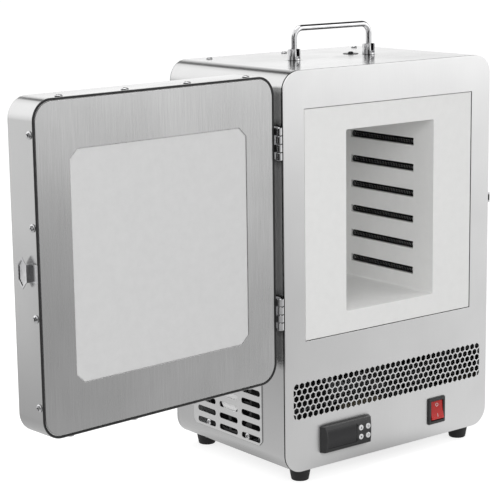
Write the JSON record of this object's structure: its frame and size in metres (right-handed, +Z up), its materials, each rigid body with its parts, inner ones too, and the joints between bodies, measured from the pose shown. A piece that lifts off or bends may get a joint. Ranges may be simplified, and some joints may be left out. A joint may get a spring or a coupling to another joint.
{
  "type": "electric melting furnace",
  "caption": "Front-loading electric melting furnace with a hinged insulated door, grooved fibre chamber with heating coils, vents and a folding top handle.",
  "frame": {"origin": "on the bench under the middle of the cabinet, between the feet", "axes": "+X to the right of someone facing the door side, +Y to the back, +Z up"},
  "size_m": [0.6343, 0.2242, 0.4899],
  "materials": {
    "brushed_sheet": "brushed",
    "door_sheet": "brushed",
    "polished_shell": "polished",
    "galvanised_sheet": "matt",
    "plated_steel": "plated",
    "fibre_board": "matt",
    "fibre_wool": "soft",
    "resistance_wire": "oxidised",
    "black_plastic": "fine texture",
    "display_window": "gloss",
    "red_plastic": "translucent",
    "key_plastic": "satin",
    "black_rubber": "matt",
    "porcelain": "unglazed",
    "sink_aluminium": "extruded",
    "brass": "bright",
    "barred_plastic": "satin"
  },
  "bodies": {
    "cabinet": {"outer_shell": "polished_shell", "front_plate": "brushed_sheet", "back_panel": "galvanised_sheet", "top_screws": "plated_steel", "chimney_plug": "plated_steel", "shelf": "galvanised_sheet", "fibre_muffle": "fibre_board", "insulation_blanket": "fibre_wool", "heating_coils_left": "resistance_wire", "heating_coils_right": "resistance_wire", "thermocouple": "porcelain", "lead_block": "porcelain", "controller_case": "black_plastic", "controller_display": "display_window", "switch_housing": "black_plastic", "vent_plate": "brushed_sheet", "vent_screws": "plated_steel", "fan_frame": "black_plastic", "rubber_feet": "black_rubber", "heat_sink": "sink_aluminium", "solid_state_relay": "black_plastic", "terminal_block": "barred_plastic", "power_inlet": "black_plastic", "inlet_blades": "brass", "handle_posts": "plated_steel", "handle_pins": "plated_steel", "cabinet_hinge_leaves": "plated_steel", "hinge_pins": "plated_steel", "latch_base": "plated_steel", "latch_pin": "plated_steel"},
    "door": {"door_shell": "polished_shell", "door_inner_plate": "door_sheet", "door_insulation": "fibre_board", "door_screws": "plated_steel", "door_hinge_leaves": "plated_steel", "latch_keeper": "plated_steel"},
    "rocker": {"switch_rocker": "red_plastic"},
    "fan": {"fan_rotor": "black_plastic"},
    "handle": {"handle_bar": "plated_steel"},
    "lever": {"latch_lever": "plated_steel"},
    "bail": {"latch_bail": "plated_steel"},
    "up_key": {"key_up": "key_plastic"},
    "down_key": {"key_down": "key_plastic"},
    "set_key": {"key_set": "key_plastic"},
    "power_key": {"key_power": "key_plastic"}
  },
  "joints": [
    {"name": "door_hinge", "type": "hinge", "parent": "cabinet", "child": "door", "pos_m": [-0.1569, -0.0994, 0.285], "axis": [0, 0, 1], "range_deg": [-4.3, 175.7]},
    {"name": "latch_lever_pivot", "type": "hinge", "parent": "cabinet", "child": "lever", "pos_m": [0.158, -0.0935, 0.2842], "axis": [0, 0, 1], "range_deg": [-98, 0]},
    {"name": "latch_bail_pivot", "type": "hinge", "parent": "lever", "child": "bail", "pos_m": [0.1568, -0.0865, 0.2842], "axis": [0, 0, -1], "range_deg": [0, 186.6]},
    {"name": "power_rocker", "type": "hinge", "parent": "cabinet", "child": "rocker", "pos_m": [0.0713, -0.099, 0.0447], "axis": [1, 0, 0], "range_deg": [0, 18]},
    {"name": "handle_fold", "type": "hinge", "parent": "cabinet", "child": "handle", "pos_m": [0, -0.002, 0.458], "axis": [1, 0, 0], "range_deg": [-83, 83]},
    {"name": "fan_spin", "type": "hinge", "parent": "cabinet", "child": "fan", "pos_m": [-0.139, 0.0003, 0.079], "axis": [1, 0, 0], "continuous": true},
    {"name": "up_key_press", "type": "slide", "parent": "cabinet", "child": "up_key", "axis": [0, 1, 0], "range_m": [0, 0.0006], "stiffness_N_per_m": 400},
    {"name": "down_key_press", "type": "slide", "parent": "cabinet", "child": "down_key", "axis": [0, 1, 0], "range_m": [0, 0.0006], "stiffness_N_per_m": 400},
    {"name": "set_key_press", "type": "slide", "parent": "cabinet", "child": "set_key", "axis": [0, 1, 0], "range_m": [0, 0.0006], "stiffness_N_per_m": 400},
    {"name": "power_key_press", "type": "slide", "parent": "cabinet", "child": "power_key", "axis": [0, 1, 0], "range_m": [0, 0.0006], "stiffness_N_per_m": 400}
  ]
}
